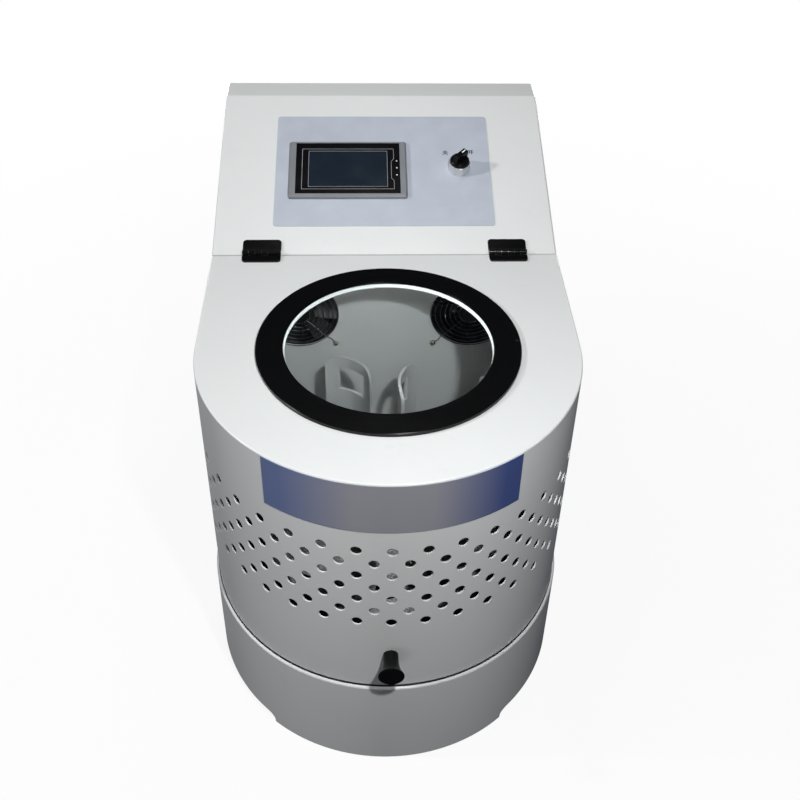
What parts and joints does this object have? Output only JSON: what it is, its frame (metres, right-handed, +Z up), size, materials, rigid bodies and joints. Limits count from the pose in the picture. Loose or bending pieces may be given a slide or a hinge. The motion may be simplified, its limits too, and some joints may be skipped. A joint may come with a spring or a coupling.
{
  "type": "planetary ball mill",
  "caption": "Bench planetary ball mill: a hinged perforated hood with a round window over a geared turntable of jar holders, and a sloping console with screen and rotary switch.",
  "frame": {"origin": "on the table, at the middle of the box round the whole machine", "axes": "+Z up, +Y to the rear, -Y to the front knob, +X to the side with the rotary switch, which is the right seen from the front"},
  "size_m": [0.478, 0.812, 0.6095],
  "materials": {
    "shell_white": "satin powder coat",
    "chamber_grey": "satin powder coat",
    "plate_grey": "satin printed plate",
    "bezel_grey": "satin moulded",
    "face_grey": "semi-gloss film",
    "screen_dark": "gloss",
    "lamp": "clear lens",
    "black_plastic": "satin moulded",
    "black_metal": "satin powder coat",
    "white_mark": "matt ink",
    "window_clear": "clear polished",
    "label_white": "satin film",
    "steel": "ground",
    "bright_steel": "bright plated",
    "aluminium": "machined",
    "iron_grey": "painted casting",
    "motor_grey": "enamel",
    "rubber_black": "matt",
    "zinc_sheet": "zinc plated"
  },
  "bodies": {
    "base": {"base_skirt": "shell_white", "base_floor": "zinc_sheet", "rubber_feet": "rubber_black", "deck_plate": "chamber_grey", "chamber_seal": "rubber_black", "partition_panel": "chamber_grey", "console_shell": "shell_white", "rear_panel": "shell_white", "power_inlet": "black_plastic", "control_plate": "plate_grey", "screen_bezel": "bezel_grey", "screen_face": "face_grey", "display_glass": "screen_dark", "status_lamps": "lamp", "switch_collar": "bright_steel", "console_hinge_leaves": "black_metal", "hinge_pins": "steel", "bearing_housing": "iron_grey", "housing_screws": "steel", "main_bearings": "steel", "sun_gear": "steel", "drive_motor": "motor_grey", "drive_belt": "rubber_black", "speed_inverter": "iron_grey", "fan_guards": "bright_steel", "fan_frames": "black_plastic", "fan_screws": "bright_steel"},
    "hood": {"hood_lid": "shell_white", "hood_wall": "shell_white", "hood_label": "label_white", "window_ring": "black_plastic", "window_pane": "window_clear", "window_screws": "black_metal", "hood_knob": "black_plastic", "knob_screw": "steel", "hood_hinge_leaves": "black_metal"},
    "turntable_group": {"turntable": "aluminium", "main_shaft": "steel", "cap_nut": "bright_steel", "main_pulley": "aluminium", "planet_bearings": "steel"},
    "motor_rotor": {"motor_shaft": "steel", "motor_pulley": "aluminium"},
    "fan_left": {"fan_rotor_left": "black_plastic"},
    "fan_right": {"fan_rotor_right": "black_plastic"},
    "switch": {"switch_knob": "black_plastic", "switch_marker": "white_mark"},
    "planet_rear_right": {"spindle_rear_right": "steel", "planet_gear_rear_right": "steel", "jar_holder_rear_right": "aluminium"},
    "planet_rear_left": {"spindle_rear_left": "steel", "planet_gear_rear_left": "steel", "jar_holder_rear_left": "aluminium"},
    "planet_front_left": {"spindle_front_left": "steel", "planet_gear_front_left": "steel", "jar_holder_front_left": "aluminium"},
    "planet_front_right": {"spindle_front_right": "steel", "planet_gear_front_right": "steel", "jar_holder_front_right": "aluminium"}
  },
  "joints": [
    {"name": "hood_hinge", "type": "hinge", "parent": "base", "child": "hood", "pos_m": [0, 0.0615, 0.5204], "axis": [-1, 0, 0], "range_deg": [0, 125]},
    {"name": "turntable_spin", "type": "hinge", "parent": "base", "child": "turntable_group", "pos_m": [0, -0.139, 0.2], "axis": [0, 0, 1], "continuous": true},
    {"name": "motor_spin", "type": "hinge", "parent": "base", "child": "motor_rotor", "pos_m": [0, 0.196, 0.1], "axis": [0, 0, 1], "continuous": true},
    {"name": "fan_left_spin", "type": "hinge", "parent": "base", "child": "fan_left", "pos_m": [-0.1224, 0.0738, 0.416], "axis": [0, 1, 0], "continuous": true},
    {"name": "fan_right_spin", "type": "hinge", "parent": "base", "child": "fan_right", "pos_m": [0.1224, 0.0738, 0.416], "axis": [0, 1, 0], "continuous": true},
    {"name": "switch_turn", "type": "hinge", "parent": "base", "child": "switch", "pos_m": [0.1093, 0.21257, 0.56373], "axis": [0, -0.304, 0.9527], "range_deg": [0, 90]},
    {"name": "rear_right_jar_spin", "type": "hinge", "parent": "turntable_group", "child": "planet_rear_right", "pos_m": [0.07637, -0.06263, 0.21], "axis": [0, 0, 1], "continuous": true},
    {"name": "rear_left_jar_spin", "type": "hinge", "parent": "turntable_group", "child": "planet_rear_left", "pos_m": [-0.07637, -0.06263, 0.21], "axis": [0, 0, 1], "continuous": true},
    {"name": "front_left_jar_spin", "type": "hinge", "parent": "turntable_group", "child": "planet_front_left", "pos_m": [-0.07637, -0.21537, 0.21], "axis": [0, 0, 1], "continuous": true},
    {"name": "front_right_jar_spin", "type": "hinge", "parent": "turntable_group", "child": "planet_front_right", "pos_m": [0.07637, -0.21537, 0.21], "axis": [0, 0, 1], "continuous": true}
  ],
  "couplings": [
    {"joint": "motor_spin", "follows": "turntable_spin", "ratio": 2.5},
    {"joint": "rear_right_jar_spin", "follows": "turntable_spin", "ratio": 2},
    {"joint": "rear_left_jar_spin", "follows": "turntable_spin", "ratio": 2},
    {"joint": "front_left_jar_spin", "follows": "turntable_spin", "ratio": 2},
    {"joint": "front_right_jar_spin", "follows": "turntable_spin", "ratio": 2}
  ]
}
